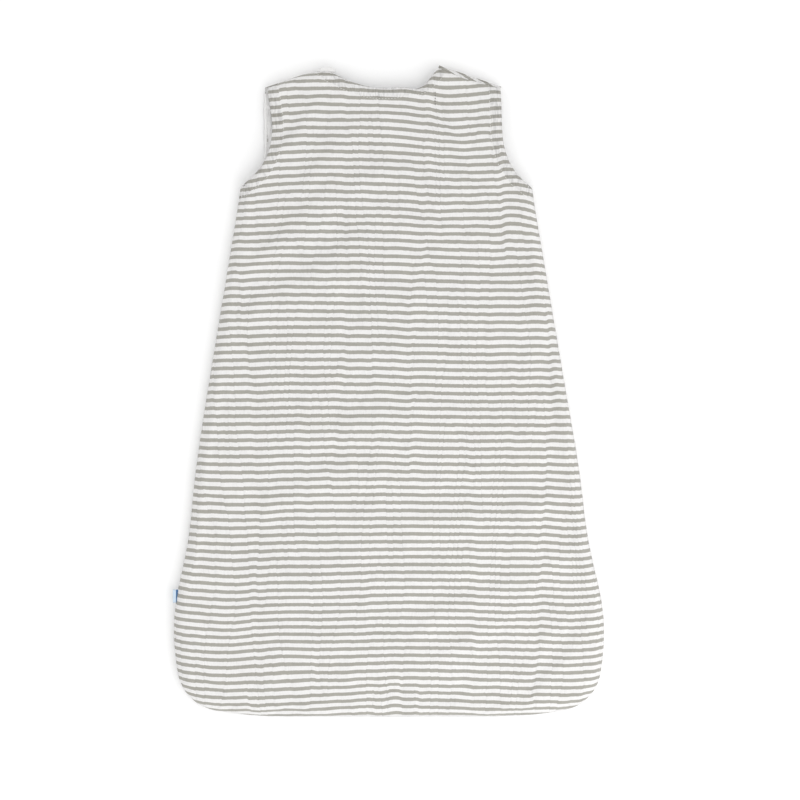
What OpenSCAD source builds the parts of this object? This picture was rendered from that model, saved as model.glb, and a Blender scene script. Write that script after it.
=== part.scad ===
// Sleeveless baby sleeping bag, lying flat on its front with the back panel up.
// X runs across the bag, Y from the hem to the neck, Z is the thickness of the lay.
// The origin is on the surface it lies on, under the middle of the bag.

/* [Bag] */
// Length from the hem to the neck points
bag_length = 700; // [560:5:1100]
// Widest width, a little above the hem
hem_width = 463; // [380:1:600]
// Width from underarm to underarm
chest_width = 313; // [250:1:400]
// Width from shoulder tip to shoulder tip
shoulder_width = 253; // [220:1:300]
// Width between the two neck points
neck_width = 120; // [90:1:150]

/* [Pattern] */
// Fall of the shoulder from the neck point to the tip
shoulder_fall = 24; // [10:1:40]
// Depth of the back neckline below the neck points
back_neck_depth = 25; // [12:1:40]
// Depth of the front neckline below the neck points
front_neck_depth = 55; // [45:1:75]
// Height of the underarm below the neck points
underarm_depth = 134; // [110:1:180]
// Radius of the armhole curve
armhole_r = 73; // [55:1:90]
// Angle through which the armhole curve turns
armhole_turn = 55; // [40:1:60]
// Radius of the lift at each end of the hem
hem_lift_r = 440; // [250:5:600]
// Radius of the rounded bottom corner
corner_r = 48; // [30:1:70]
// Radius of the curve from the corner into the side seam
hip_r = 276; // [150:2:400]
// Angle of the lift at the end of the hem, and of the start of the hip curve
corner_ease = 10; // [4:1:16]

/* [Cloth] */
// Thickness of the double gauze shell
shell_t = 1.0; // [0.6:0.1:1.6]
// Thickness of the front wadding
front_wadding_t = 3.6; // [3.4:0.1:6]
// Thickness of the back wadding
back_wadding_t = 4.2; // [2:0.1:8]
// Thickness of the lining
lining_t = 0.8; // [0.5:0.1:1.2]
// Height of the space between the front and the back lining
inside_h = 9.6; // [8:0.1:30]
// Thickness of the facings at the neck and the armholes
facing_t = 0.6; // [0.4:0.1:1.0]
// Width of the facings
facing_w = 12; // [8:0.5:18]

/* [Zip] */
// Distance of the top end of the zip from the front neckline
zip_top_gap = 5.5; // [4:0.5:12]
// Distance of the bottom end of the zip from the hem
zip_bottom_gap = 40; // [35:1:140]
// Width of one zip tape
tape_w = 14; // [10:0.5:18]
// Thickness of the zip tape
tape_t = 0.6; // [0.4:0.1:1.0]
// Width of one row of teeth
teeth_w = 2.4; // [1.8:0.1:3.2]
// Thickness of the teeth
teeth_t = 2.0; // [1.4:0.1:2.6]
// Distance from one tooth to the next
tooth_pitch = 3.0; // [2:0.1:4]
// Width of the slot between the two rows, where the slider's wedge runs
teeth_slot = 1.2; // [1.0:0.1:1.6]
// Height of the top and bottom stops along the zip
stop_h = 3; // [2:0.5:5]
// Width of the strip of cloth behind the zip, each side of the teeth
guard_reach = 14; // [12:0.5:20]

/* [Slider] */
// Length of the slider
slider_l = 11; // [8:0.5:14]
// Thickness of the slider's plates
plate_t = 0.7; // [0.5:0.1:1.0]
// Width of the lips that close the slider's channel
lip_w = 0.6; // [0.4:0.1:0.8]
// Gap between the slider and the teeth or the tape that runs in it
slider_gap = 0.2; // [0.15:0.05:0.4]
// Width of the crown that holds the pull
crown_w = 1.8; // [1.2:0.1:2.4]
// Radius of the pull's pin
pull_pin_r = 0.5; // [0.4:0.05:0.7]
// Radial clearance of the pin in the crown
pin_gap = 0.08; // [0.05:0.01:0.1]
// Length of the pull from its pin to its end
pull_l = 26; // [18:1:34]
// Width of the metal link of the pull
link_w = 4.8; // [4.4:0.1:6]
// Thickness of the metal link
link_t = 0.8; // [0.6:0.1:1.0]
// Width of the soft grip
grip_w = 6.4; // [6:0.1:8]
// Thickness of the soft grip
grip_t = 1.4; // [1.2:0.1:1.8]

/* [Labels] */
// Height of the small folded tab in the side seam
side_label_h = 14; // [10:1:24]
// How far the folded tab stands out of the seam
side_label_out = 2.2; // [1:0.1:3]
// Thickness of a folded label
label_t = 0.5; // [0.3:0.1:0.8]
// Width of the care label inside the bag
care_label_w = 26; // [20:1:36]
// Length of the care label
care_label_l = 48; // [36:1:70]
// Width of the size label at the back of the neck
size_label_w = 24; // [16:1:34]
// Length of the size label
size_label_l = 30; // [20:1:40]

/* [Hidden] */
$fn = 48;
far = 2000;

// heights of the layers
front_wadding_z = shell_t;
front_lining_z = front_wadding_z + front_wadding_t;
front_top_z = front_lining_z + lining_t;
back_lining_z = front_top_z + inside_h;
back_wadding_z = back_lining_z + lining_t;
back_shell_z = back_wadding_z + back_wadding_t;
bag_h = back_shell_z + shell_t;
seam_z = bag_h / 2;

// landmarks of the pattern
top_y = bag_length / 2;
hem_y = -top_y;
neck_x = neck_width / 2;
tip_x = shoulder_width / 2;
tip_y = top_y - shoulder_fall;
chest_x = chest_width / 2;
underarm_y = top_y - underarm_depth;
hem_x = hem_width / 2;

// the hem, corner and hip curves follow each other, each tangent to the last
corner_end = 90 - corner_ease;
hem_flat_x = hem_x - hem_lift_r * sin(corner_ease)
    - corner_r * (sin(corner_end) - sin(corner_ease)) - hip_r * (1 - sin(corner_end));
lift_c = [hem_flat_x, hem_y + hem_lift_r];
corner_c = lift_c + (hem_lift_r - corner_r) * [sin(corner_ease), -cos(corner_ease)];
hip_c = corner_c - (hip_r - corner_r) * [sin(corner_end), -cos(corner_end)];
to_underarm = [chest_x, underarm_y] - hip_c;
side_tilt = atan2(to_underarm[1], to_underarm[0]) - acos(hip_r / norm(to_underarm));
armhole_c = [chest_x, underarm_y] + armhole_r * [sin(90 - armhole_turn), cos(90 - armhole_turn)];

// heights and widths in the zip
tape_z = front_lining_z - tape_t;
teeth_mid_z = tape_z + tape_t / 2;
teeth_z = teeth_mid_z - teeth_t / 2;
teeth_in_x = teeth_slot / 2;
teeth_out_x = teeth_in_x + teeth_w;
channel_z = teeth_z - slider_gap;
channel_t = teeth_t + 2 * slider_gap;
outer_plate_z = channel_z - plate_t;
lip_x = teeth_out_x + 4 * slider_gap;
slider_x = lip_x + lip_w;
well_x = slider_x + 1.4;
wedge_w = teeth_slot - 2 * slider_gap;
stop_t = channel_t;
guard_z = channel_z + channel_t + plate_t + slider_gap;

// places along the zip
front_neck_y = top_y - front_neck_depth;
zip_top_y = front_neck_y - zip_top_gap;
zip_bottom_y = hem_y + zip_bottom_gap;
slider_y = zip_top_y - stop_h - slider_gap - slider_l / 2;
slider_travel = slider_y - slider_l / 2 - slider_gap - (zip_bottom_y + stop_h);
teeth_count = floor((zip_top_y - zip_bottom_y - 2 * stop_h) / tooth_pitch);
tape_top_y = zip_top_y + 1.5;
tape_bottom_y = zip_bottom_y - 8;
guard_top_y = front_neck_y - facing_w;

// the pull's pin and the crown around it
pivot_up = 1;
pivot_y = slider_y + pivot_up;
pivot_z = outer_plate_z / 2;
crown_l = 7;
crown_top_l = 4;
crown_wall = 0.45;
window_x = crown_w / 2 + 0.3;
window_l = 4.7;
link_end = 0.9;
link_l = 14;
grip_start = 7;

// the well also takes the pull, which points to the hem when the slider is at the bottom
well_bottom_y = pivot_y - slider_travel - pull_l - 2;

label_y = hip_c[1] + 36;
care_label_y = -60;

function unit(v) = v / norm(v);

function arc(c, r, a0, a1, n) =
    [for (i = [0:n]) let (a = a0 + (a1 - a0) * i / n) c + r * [cos(a), sin(a)]];

// right-hand edge from the hem to the neck point
right_edge = concat(
    arc(lift_c, hem_lift_r, -90, -90 + corner_ease, 4),
    arc(corner_c, corner_r, -90 + corner_ease, -corner_ease, 12),
    arc(hip_c, hip_r, -corner_ease, side_tilt, 6),
    [[chest_x, underarm_y]],
    arc(armhole_c, armhole_r, 180 + armhole_turn, 180, 10),
    [[tip_x, tip_y], [neck_x, top_y]]
);

// neckline from the right neck point down and up to the left one, without its ends
function neckline(depth) =
    let (r = (neck_x * neck_x + depth * depth) / (2 * depth),
         a = acos((r - depth) / r),
         n = 20)
    [for (i = [1:n - 1]) let (t = -90 + a * (1 - 2 * i / n))
        [r * cos(t), top_y - depth + r + r * sin(t)]];

function flip(pts) = [for (i = [len(pts) - 1:-1:0]) [-pts[i][0], pts[i][1]]];

function tidy(pts) =
    [for (i = [0:len(pts) - 1]) if (norm(pts[i] - pts[(i + 1) % len(pts)]) > 0.01) pts[i]];

function outline(depth) = tidy(concat(right_edge, neckline(depth), flip(right_edge)));

// moves every edge of a closed outline inwards by d
function inset(pts, d) =
    let (n = len(pts))
    [for (i = [0:n - 1])
        let (e0 = unit(pts[i] - pts[(i + n - 1) % n]),
             e1 = unit(pts[(i + 1) % n] - pts[i]),
             n0 = [-e0[1], e0[0]],
             m = unit(n0 + [-e1[1], e1[0]]))
        pts[i] + m * d / (m * n0)];

module panel(depth, d = 0) {
    polygon(inset(outline(depth), d));
}

// band between two insets of the outline
module band(depth, d0, d1) {
    difference() {
        panel(depth, d0);
        panel(depth, d1);
    }
}

// both shoulder seams, from x0 to x1
module shoulders(x0, x1) {
    for (s = [-1, 1])
        translate([s > 0 ? x0 : -x1, tip_y - 2 * shell_t])
            square([x1 - x0, far]);
}

// where the front and the back are sewn together: the sides, the hem and the shoulders
module seams() {
    translate([-far / 2, underarm_y - far])
        square([far, far]);
    shoulders(neck_x + 2 * shell_t, tip_x - shell_t);
}

module slab(z, t) {
    translate([0, 0, z])
        linear_extrude(t)
            children();
}

// one side of the front: 1 is right, -1 is left; the sides meet under the zip
module front_side(side, edge_x) {
    difference() {
        translate([side > 0 ? 0 : -far, -far / 2])
            square([far, far]);
        translate([-edge_x, well_bottom_y])
            square([2 * edge_x, far]);
    }
}

module tape_area(side) {
    translate([side > 0 ? teeth_out_x : -teeth_out_x - tape_w, tape_bottom_y])
        square([tape_w, tape_top_y - tape_bottom_y]);
}

module side_label_room() {
    translate([-hem_x, label_y - side_label_h / 2, seam_z - label_t / 2])
        cube([side_label_out + 6, side_label_h, label_t]);
}

// ---- cloth ----

module back_shell() {
    color("gainsboro")
    difference() {
        union() {
            slab(back_shell_z, shell_t)
                panel(back_neck_depth);
            slab(seam_z, back_shell_z - seam_z)
                intersection() {
                    band(back_neck_depth, 0, shell_t);
                    seams();
                }
        }
        side_label_room();
    }
}

module back_wadding() {
    color("white")
    slab(back_wadding_z, back_wadding_t)
        panel(back_neck_depth, shell_t);
}

module back_lining() {
    color("whitesmoke")
    slab(back_lining_z, lining_t)
        panel(back_neck_depth, shell_t);
}

module front_shell(side) {
    color("gainsboro")
    difference() {
        union() {
            slab(0, shell_t)
                intersection() {
                    panel(front_neck_depth);
                    front_side(side, well_x - shell_t);
                }
            slab(shell_t, seam_z - shell_t)
                intersection() {
                    band(front_neck_depth, 0, shell_t);
                    seams();
                    front_side(side, well_x - shell_t);
                }
            // edge turned up along the zip, against the tape
            slab(shell_t, tape_z - shell_t)
                intersection() {
                    panel(front_neck_depth, shell_t);
                    front_side(side, well_x - shell_t);
                    translate([side > 0 ? 0 : -well_x, well_bottom_y])
                        square([well_x, far]);
                }
        }
        side_label_room();
    }
}

module front_wadding(side) {
    color("white")
    difference() {
        slab(front_wadding_z, front_wadding_t)
            intersection() {
                panel(front_neck_depth, shell_t);
                front_side(side, well_x);
            }
        slab(tape_z, far)
            tape_area(side);
    }
}

module front_lining(side) {
    color("whitesmoke")
    slab(front_lining_z, lining_t)
        intersection() {
            panel(front_neck_depth, shell_t);
            front_side(side, well_x);
        }
}

// a facing has a band on the front lining, one on the back lining, and walls where they meet
module facing_layers(front_z, back_z) {
    slab(front_z, facing_t)
        intersection() {
            band(front_neck_depth, shell_t, facing_w);
            children();
        }
    slab(back_z, facing_t)
        intersection() {
            band(back_neck_depth, shell_t, facing_w);
            children();
        }
    slab(front_z, back_z + facing_t - front_z)
        intersection() {
            band(back_neck_depth, shell_t, shell_t + facing_t);
            seams();
            children();
        }
}

module neck_facing() {
    color("whitesmoke")
    facing_layers(front_top_z, back_lining_z - facing_t)
        difference() {
            translate([-neck_x - facing_w, front_neck_y - facing_w])
                square([2 * (neck_x + facing_w), far]);
            translate([-well_x, -far / 2])
                square([2 * well_x, far / 2 + front_neck_y + 3]);
        }
}

module armhole_facing(side) {
    color("whitesmoke")
    facing_layers(front_top_z, back_lining_z - facing_t)
        translate([side > 0 ? tip_x - 1.2 * facing_w : 1.2 * facing_w - tip_x - far, underarm_y - facing_w])
            square([far, far]);
}

// strip behind the zip, sewn to the left front and lying over the slider
module zip_guard() {
    color("lightgray")
    translate([0, guard_top_y, 0])
        rotate([90, 0, 0])
            linear_extrude(guard_top_y - well_bottom_y)
                polygon([
                    [-well_x - guard_reach, front_top_z],
                    [-well_x, front_top_z],
                    [-well_x, guard_z],
                    [guard_reach, guard_z],
                    [guard_reach, guard_z + lining_t],
                    [-well_x - lining_t, guard_z + lining_t],
                    [-well_x - lining_t, front_top_z + lining_t],
                    [-well_x - guard_reach, front_top_z + lining_t]
                ]);
}

// folded cap over the top end of the zip, from the guard over the edge to the outside
module zip_garage() {
    cap_y = front_neck_y + 2;
    leaf_z = outer_plate_z - 2 * lining_t + slider_gap;
    color("lightgray")
    translate([-well_x + shell_t + 0.2, 0, 0])
        rotate([90, 0, 90])
            linear_extrude(2 * (well_x - shell_t - 0.2))
                polygon([
                    [guard_top_y, guard_z],
                    [cap_y, guard_z],
                    [cap_y, leaf_z + lining_t],
                    [zip_top_y - stop_h + 1, leaf_z + lining_t],
                    [zip_top_y - stop_h + 1, leaf_z],
                    [cap_y + lining_t, leaf_z],
                    [cap_y + lining_t, guard_z + lining_t],
                    [guard_top_y, guard_z + lining_t]
                ]);
}

// ---- labels ----

module side_label() {
    color("lightsteelblue")
    side_label_room();
}

module care_label() {
    color("white")
    translate([-hem_x, care_label_y, front_top_z])
        intersection() {
            cube([hem_x, care_label_w, 2 * label_t]);
            translate([hem_x, -care_label_y, 0])
                linear_extrude(2 * label_t)
                    difference() {
                        panel(back_neck_depth, shell_t);
                        translate([care_label_l, 0])
                            panel(back_neck_depth, shell_t);
                    }
        }
}

module size_label() {
    color("white")
    translate([-size_label_w / 2, top_y - back_neck_depth - 6 - size_label_l, back_lining_z - facing_t - label_t])
        cube([size_label_w, size_label_l, label_t]);
}

// ---- zip ----

module zip_tape(side) {
    color("silver")
    slab(tape_z, tape_t)
        tape_area(side);
}

// a row of teeth on a narrow rib; the two rows are half a pitch apart
module zip_teeth(side) {
    rib_x = teeth_out_x - 0.6;
    tooth_l = 0.6 * tooth_pitch;
    shift = side > 0 ? 0.1 : 0.3;
    y0 = zip_bottom_y + stop_h;
    color("lightgray")
    slab(teeth_z, teeth_t)
        mirror([side > 0 ? 0 : 1, 0])
            polygon(concat(
                [[teeth_out_x, y0], [teeth_out_x, y0 + teeth_count * tooth_pitch]],
                [for (i = [teeth_count - 1:-1:0])
                    let (y = y0 + (i + shift) * tooth_pitch)
                    each [[rib_x, y + tooth_l], [teeth_in_x, y + 0.8 * tooth_l],
                          [teeth_in_x, y + 0.2 * tooth_l], [rib_x, y]]]
            ));
}

module zip_top_stop(side) {
    color("silver")
    translate([side > 0 ? teeth_in_x : -teeth_out_x, zip_top_y - stop_h, teeth_mid_z - stop_t / 2])
        cube([teeth_w, stop_h, stop_t]);
}

module zip_bottom_stop() {
    color("silver")
    translate([-teeth_out_x, zip_bottom_y, teeth_mid_z - stop_t / 2])
        cube([2 * teeth_out_x, stop_h, stop_t]);
}

// two plates joined by a wedge at the top, with lips that leave room for the tape
module zip_slider_body() {
    lip_h = (channel_t - tape_t) / 2 - slider_gap;
    color("silver")
    translate([0, slider_y, 0]) {
        for (z = [outer_plate_z, channel_z + channel_t])
            slab(z, plate_t)
                polygon([
                    [-slider_x, -slider_l / 2], [slider_x, -slider_l / 2],
                    [slider_x, slider_l / 3], [slider_x - 1, slider_l / 2],
                    [1 - slider_x, slider_l / 2], [-slider_x, slider_l / 3]
                ]);
        for (s = [0, 1], z = [channel_z, channel_z + channel_t - lip_h])
            mirror([s, 0, 0])
                translate([lip_x, -slider_l / 2, z])
                    cube([lip_w, slider_l * 5 / 6, lip_h]);
        translate([-wedge_w / 2, slider_l / 2 - 3, channel_z])
            cube([wedge_w, 3, channel_t]);
    }
}

module zip_slider_crown() {
    color("silver")
    difference() {
        translate([-crown_w / 2, slider_y, 0])
            rotate([90, 0, 90])
                linear_extrude(crown_w)
                    polygon([
                        [-crown_l / 2, outer_plate_z], [crown_l / 2, outer_plate_z],
                        [1 + crown_top_l / 2 - 0.4, pivot_z - pull_pin_r - pin_gap - crown_wall],
                        [-crown_top_l / 2, pivot_z - pull_pin_r - pin_gap - crown_wall]
                    ]);
        translate([-crown_w, pivot_y, pivot_z])
            rotate([0, 90, 0])
                cylinder(r = pull_pin_r + pin_gap, h = 2 * crown_w);
    }
}

// metal link: two arms either side of the crown, the pin between them, and a tail in the grip
module zip_pull_link() {
    color("silver")
    translate([0, pivot_y, pivot_z]) {
        slab(-link_t / 2, link_t)
            difference() {
                translate([-link_w / 2, -link_l])
                    square([link_w, link_l + link_end]);
                translate([-window_x, -window_l])
                    square([2 * window_x, window_l + 2 * link_end]);
            }
        translate([-window_x - 0.2, 0, 0])
            rotate([0, 90, 0])
                cylinder(r = pull_pin_r, h = 2 * window_x + 0.4);
    }
}

module zip_pull_grip() {
    color("gray")
    translate([0, pivot_y, pivot_z])
        difference() {
            slab(-grip_t / 2, grip_t)
                union() {
                    translate([-grip_w / 2, grip_w / 2 - pull_l])
                        square([grip_w, pull_l - grip_start - grip_w / 2]);
                    translate([0, grip_w / 2 - pull_l])
                        circle(r = grip_w / 2);
                }
            slab(-link_t / 2, link_t)
                translate([-link_w / 2, -link_l])
                    square([link_w, link_l]);
        }
}

back_shell();
back_wadding();
back_lining();
front_shell(-1);  // front_shell_left
front_shell(1);  // front_shell_right
front_wadding(-1);  // front_wadding_left
front_wadding(1);  // front_wadding_right
front_lining(-1);  // front_lining_left
front_lining(1);  // front_lining_right
neck_facing();
armhole_facing(-1);  // armhole_facing_left
armhole_facing(1);  // armhole_facing_right
zip_tape(-1);  // zip_tape_left
zip_tape(1);  // zip_tape_right
zip_teeth(-1);  // zip_teeth_left
zip_teeth(1);  // zip_teeth_right
zip_top_stop(-1);  // zip_top_stop_left
zip_top_stop(1);  // zip_top_stop_right
zip_bottom_stop();
zip_guard();
zip_garage();
side_label();
care_label();
size_label();
zip_slider_body();
zip_slider_crown();
zip_pull_link();
zip_pull_grip();
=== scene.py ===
import math
import bmesh
import bpy
import numpy as np
from mathutils import Matrix, Vector, noise
from mathutils.bvhtree import BVHTree


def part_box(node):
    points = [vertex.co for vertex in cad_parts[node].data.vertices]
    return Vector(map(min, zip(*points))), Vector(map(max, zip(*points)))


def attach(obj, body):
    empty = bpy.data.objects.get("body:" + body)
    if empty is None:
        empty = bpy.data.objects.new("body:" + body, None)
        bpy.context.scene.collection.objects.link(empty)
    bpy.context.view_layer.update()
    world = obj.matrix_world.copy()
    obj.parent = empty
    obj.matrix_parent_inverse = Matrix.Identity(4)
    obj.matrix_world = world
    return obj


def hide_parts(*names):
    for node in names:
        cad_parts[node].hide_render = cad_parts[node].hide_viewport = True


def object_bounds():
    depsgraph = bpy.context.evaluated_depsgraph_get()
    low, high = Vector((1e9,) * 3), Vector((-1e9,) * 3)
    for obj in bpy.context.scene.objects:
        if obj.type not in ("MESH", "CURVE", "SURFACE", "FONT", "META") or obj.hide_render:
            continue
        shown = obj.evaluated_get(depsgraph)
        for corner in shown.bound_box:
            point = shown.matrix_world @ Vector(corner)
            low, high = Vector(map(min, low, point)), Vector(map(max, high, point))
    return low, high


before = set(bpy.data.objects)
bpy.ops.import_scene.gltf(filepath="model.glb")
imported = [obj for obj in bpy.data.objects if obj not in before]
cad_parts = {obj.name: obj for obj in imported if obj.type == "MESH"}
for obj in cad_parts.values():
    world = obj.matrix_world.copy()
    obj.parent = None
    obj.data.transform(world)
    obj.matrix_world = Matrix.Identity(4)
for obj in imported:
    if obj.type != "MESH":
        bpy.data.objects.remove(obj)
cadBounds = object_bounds()
scene = bpy.context.scene
mm = 0.001

# camera and light

stage = {
    "lens": 90,
    "frameWidth": 859 * mm,
    "aim": (11.3 * mm, -9.7 * mm, 14 * mm),
    "floorSize": 12.0,
    "floorColor": (0.96, 0.96, 0.96),
    "skyStrength": 1.0,
    "lampSize": 1.3,
    "lampPlace": (0.55, -0.6, 1.0),
    "lampPower": 5.9,
}


def link(obj):
    scene.collection.objects.link(obj)
    return obj


def meshFrom(name, bm):
    mesh = bpy.data.meshes.new(name)
    bm.to_mesh(mesh)
    bm.free()
    return mesh


def meshObject(name, bm):
    return link(bpy.data.objects.new(name, meshFrom(name, bm)))


def newMaterial(name):
    material = bpy.data.materials.new(name)
    material.use_nodes = True
    return material, material.node_tree, material.node_tree.nodes["Principled BSDF"]


def addCamera():
    data = bpy.data.cameras.new("camera")
    data.lens = stage["lens"]
    data.clip_end = 50
    camera = link(bpy.data.objects.new("camera", data))
    distance = stage["frameWidth"] * data.lens / data.sensor_width
    aimX, aimY, aimZ = stage["aim"]
    camera.location = (aimX, aimY, aimZ + distance)  # unturned, it looks straight down
    scene.camera = camera


def addLamp(name, place, power):
    data = bpy.data.lights.new(name, "AREA")
    data.size = stage["lampSize"]
    data.energy = power
    lamp = link(bpy.data.objects.new(name, data))
    lamp.location = place
    lamp.rotation_euler = Vector(place).to_track_quat("Z", "Y").to_euler()


def addStage():
    bm = bmesh.new()
    bmesh.ops.create_grid(bm, x_segments=2, y_segments=2, size=stage["floorSize"] / 2)
    floor = meshObject("floor", bm)
    paper, _, shader = newMaterial("floorPaper")
    shader.inputs["Base Color"].default_value = (*stage["floorColor"], 1)
    shader.inputs["Roughness"].default_value = 0.9
    shader.inputs["Specular IOR Level"].default_value = 0.1
    floor.data.materials.append(paper)
    world = bpy.data.worlds.new("softRoom")
    world.use_nodes = True
    sky = world.node_tree.nodes["Background"]
    sky.inputs["Color"].default_value = (1, 1, 1, 1)
    sky.inputs["Strength"].default_value = stage["skyStrength"]
    scene.world = world
    addLamp("keyLamp", stage["lampPlace"], stage["lampPower"])
    scene.view_settings.view_transform = "Standard"
    scene.view_settings.look = "None"


addCamera()
addStage()
print("camera and light")

# the cloth and how it lies; lengths in metres

topY = cadBounds[1][1]
bagTop = cadBounds[1][2]
seamZ = bagTop / 2
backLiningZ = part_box("back_lining")[0][2]
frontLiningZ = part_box("front_lining_left")[1][2]
neckX = 60 * mm
tipY = topY - 24 * mm
underarmY = topY - 134 * mm
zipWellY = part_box("zip_guard")[0][1]
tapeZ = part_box("zip_tape_left")[0][2]

cloth = {
    "cell": 5 * mm,          # grid of the cut panels
    "sideRoll": 15 * mm,     # width of the rounded edge at the seams
    "openRoll": 5 * mm,      # width of the rolled edge at the neck and the armholes
    "shellThick": 0.8 * mm,
    "stitchIn": 12.5 * mm,   # stitch line of the facings, from the edge
    "period": 8.37 * mm,     # stripe repeat
    "greyShare": 0.47,
    "phase": 5.7 * mm,
}

# how far the lay drifts sideways: height, drift, in millimetres
layDrift = [(-350, 0), (-200, -1), (0, -3), (260, -3.5), (300, -5.5), (326, -7), (360, -7)]

# how far the stripes sink along the middle: height, sink, in millimetres
middleSink = [(-350, 1.5), (-332, 0.8), (-300, 1.2), (-250, 3.7), (-205, 5.4), (-143, 7.3), (-60, 7.5),
              (50, 6.9), (93, 5.9), (158, 5.0), (200, 4.7), (265, 2.9), (308, 2.6), (350, 2.0)]

# soft draws in the cloth, in millimetres: x, y, reach in x, reach in y, sink of the stripes, swell
draws = [
    (64, 300, 34, 62, 4.6, 0.8),
    (100, 60, 75, 230, 1.9, 0.3),
    (-160, -240, 26, 95, 3.6, -0.9),
    (-150, -330, 80, 40, 2.2, 0.3),
    (-100, 60, 60, 85, -1.3, 0.5),
    (-98, -215, 42, 42, 1.8, 0.6),
    (128, -215, 26, 90, 1.6, -0.5),
    (200, -300, 60, 50, 1.6, 0.3),
    (-152, 222, 14, 22, 2.6, 0),
    (158, 190, 12, 30, 2.0, 0),
    (126, 195, 12, 30, -1.8, -0.4),
    (-30, 250, 30, 90, -1.0, 0.5),
    (-198, -270, 36, 110, 5.0, 0),
    (196, -200, 34, 150, 3.8, 0),
    (-105, -318, 75, 32, 2.8, 0.3),
    (120, -312, 60, 34, 2.6, 0.3),
    (-85, 250, 40, 95, -2.2, 0),
    (75, 280, 45, 60, 1.6, 0),
    (140, 185, 22, 40, -2.4, 0),
    (-130, -215, 80, 85, 2.3, 0),
    (-160, -85, 45, 70, 1.4, 0),
    (-50, -255, 35, 70, 1.3, 0),
    (130, -235, 60, 70, 1.8, 0),
    (-115, 208, 28, 30, -1.3, 0),
    (-120, 125, 40, 50, -1.1, 0),
    (-35, 130, 14, 45, -1.2, 0),
    (48, 190, 16, 28, 2.0, 0),
    (107, 203, 14, 24, -1.7, 0),
    (27, 50, 10, 70, 0.8, 0),
    (156, 120, 12, 60, -0.9, 0),
    (-53, 265, 10, 25, 1.2, 0),
    (-90, 335, 50, 20, -1.7, 0),
]

# long soft creases, in millimetres: points from the top down, half width, height, step of the stripes
creases = [
    ([(-160, 119), (-147, -10), (-139, -125), (-142, -324)], 8, -0.7, 0.5),
    ([(-46, 320), (-50, 200), (-46, 33), (-61, -96)], 5, -0.6, 0.5),
    ([(38, 312), (38, 151), (24, 97), (22, -75)], 6, 0.5, -0.6),
    ([(134, 98), (135, 0), (128, -75)], 6, -0.5, 0.3),
    ([(119, 250), (122, 155)], 4, -0.6, -0.9),
    ([(169, 76), (176, -2), (165, -82), (154, -324)], 9, -0.8, -0.7),
    ([(-168, 141), (-90, 140), (12, 140), (82, 173)], 5, -0.7, 0.2),
    ([(82, -60), (92, -180), (88, -340)], 7, 0.4, 0.4),
    ([(-20, 80), (-14, -90), (-24, -250)], 9, 0.4, -0.3),
    ([(-95, 20), (-88, -130), (-80, -300)], 7, 0.4, 0.3),
    ([(-150, -334), (-148, -348)], 2.5, -0.8, 0.9),
    ([(-17, -328), (-18, -348)], 2, -0.7, 0.7),
    ([(-2, -324), (-1, -348)], 2, -0.6, -0.5),
    ([(12, -320), (14, -348)], 2.5, -0.8, 0.8),
    ([(31, -330), (30, -348)], 2, -0.6, 0.6),
]


def fade(lo, hi, x):
    t = np.clip((x - lo) / (hi - lo), 0, 1)
    return t * t * (3 - 2 * t)


def softTable(pairs, x, reach=14 * mm):
    table = np.array(pairs, float) * mm
    steps = (-1, -0.5, 0, 0.5, 1)
    return sum(np.interp(x + reach * s, table[:, 0], table[:, 1]) for s in steps) / len(steps)


# distance of points to the nearest of the segments, and the side of it that they lie on
def toSegments(points, segments):
    best = np.full(len(points), 9.0)
    side = np.zeros(len(points))
    for a, b in segments:
        along = b - a
        t = np.clip(((points - a) @ along) / max(along @ along, 1e-12), 0, 1)
        away = points - (a + t[:, None] * along)
        d = np.hypot(away[:, 0], away[:, 1])
        near = d < best
        best[near] = d[near]
        side[near] = np.sign(along[0] * away[near, 1] - along[1] * away[near, 0])
    return best, side


def polySegments(points):
    pts = np.array(points, float) * mm
    return list(zip(pts[:-1], pts[1:]))


# sink of the stripes and height of the soft draws and creases at points of the lay
def drawnCloth(x, y):
    sink = softTable(middleSink, y)
    swell = np.zeros_like(x)
    for cx, cy, reachX, reachY, down, up in draws:
        g = np.exp(-((x / mm - cx) / reachX) ** 2 - ((y / mm - cy) / reachY) ** 2)
        sink = sink + down * mm * g
        swell = swell + up * mm * g
    points = np.stack([x, y], 1)
    for line, width, up, step in creases:
        d, side = toSegments(points, polySegments(line))
        d = d / mm
        swell = swell + up * mm * np.exp(-(d / width) ** 2)
        sink = sink + step * mm * side * np.tanh(d / 2) * np.exp(-(d / 16) ** 2)
    return sink, swell


def hump(x, middle, reach):
    return np.exp(-((x - middle * mm) / (reach * mm)) ** 2)


# the flat cut to the lay: it drifts, the hips and the left neck point draw in, and the back neckline sags
def layPoints(x, y, isBack):
    lx = x + softTable(layDrift, y, 6 * mm)
    sag = 11 * mm * hump(lx, 33, 15) * hump(y, 338, 17)
    pull = 4.4 * mm * hump(y, 290, 34) * fade(-60 * mm, -120 * mm, lx)
    hips = 4.2 * mm * hump(y, -160, 55) * np.clip(x / 0.19, -1, 1)
    ly = y + (4.5 * mm * hump(lx, -155, 24) + 2.8 * mm * hump(lx, 150, 22)) * hump(y, 214, 22)
    ly = ly - 3.4 * mm * hump(lx, -66, 17) * fade(318 * mm, 346 * mm, y)
    lx = lx - hips + np.where(isBack, pull, -0.6 * pull)
    return lx, ly - np.where(isBack, sag, 0)


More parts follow.
